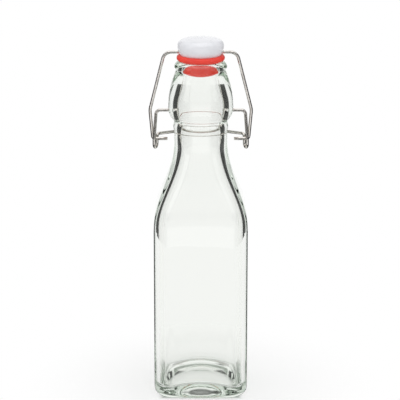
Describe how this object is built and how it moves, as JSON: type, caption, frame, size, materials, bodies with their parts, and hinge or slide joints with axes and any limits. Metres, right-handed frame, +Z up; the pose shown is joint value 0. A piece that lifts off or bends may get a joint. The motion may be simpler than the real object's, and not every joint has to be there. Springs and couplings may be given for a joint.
{
  "type": "swing top bottle",
  "caption": "Square clear glass bottle with rounded corners, round neck and collar, closed by a white stopper with a red gasket on a hinged wire lever and bail.",
  "frame": {"origin": "middle of the base, on the plane that the bottle stands on", "axes": "+Z up along the bottle axis, +X along the wire pivots, +Y towards the side where the lever crossbar passes the neck, -Y is the face seen in the picture"},
  "size_m": [0.0586, 0.053, 0.205],
  "materials": {
    "clear_glass": "clear, smooth, faint green in thick places",
    "steel_wire": "bright drawn wire",
    "white_stopper": "glossy white",
    "red_rubber": "soft satin red"
  },
  "bodies": {
    "bottle": {"glass_bottle": "clear_glass"},
    "lever": {"lever_wire": "steel_wire"},
    "bail": {"bail_wire": "steel_wire"},
    "stopper": {"stopper_cap": "white_stopper", "sealing_gasket": "red_rubber"}
  },
  "joints": [
    {"name": "lever_swing", "type": "hinge", "parent": "bottle", "child": "lever", "pos_m": [0, 0, 0.1638], "axis": [1, 0, 0], "range_deg": [0, 85]},
    {"name": "bail_swing", "type": "hinge", "parent": "lever", "child": "bail", "pos_m": [0, 0, 0.1473], "axis": [1, 0, 0], "range_deg": [-60, 0]},
    {"name": "stopper_swivel", "type": "hinge", "parent": "bail", "child": "stopper", "pos_m": [0, 0, 0.1969], "axis": [1, 0, 0], "range_deg": [-26, 0]}
  ],
  "couplings": [
    {"joint": "bail_swing", "follows": "lever_swing", "ratio": -0.7},
    {"joint": "stopper_swivel", "follows": "lever_swing", "ratio": -0.3}
  ]
}
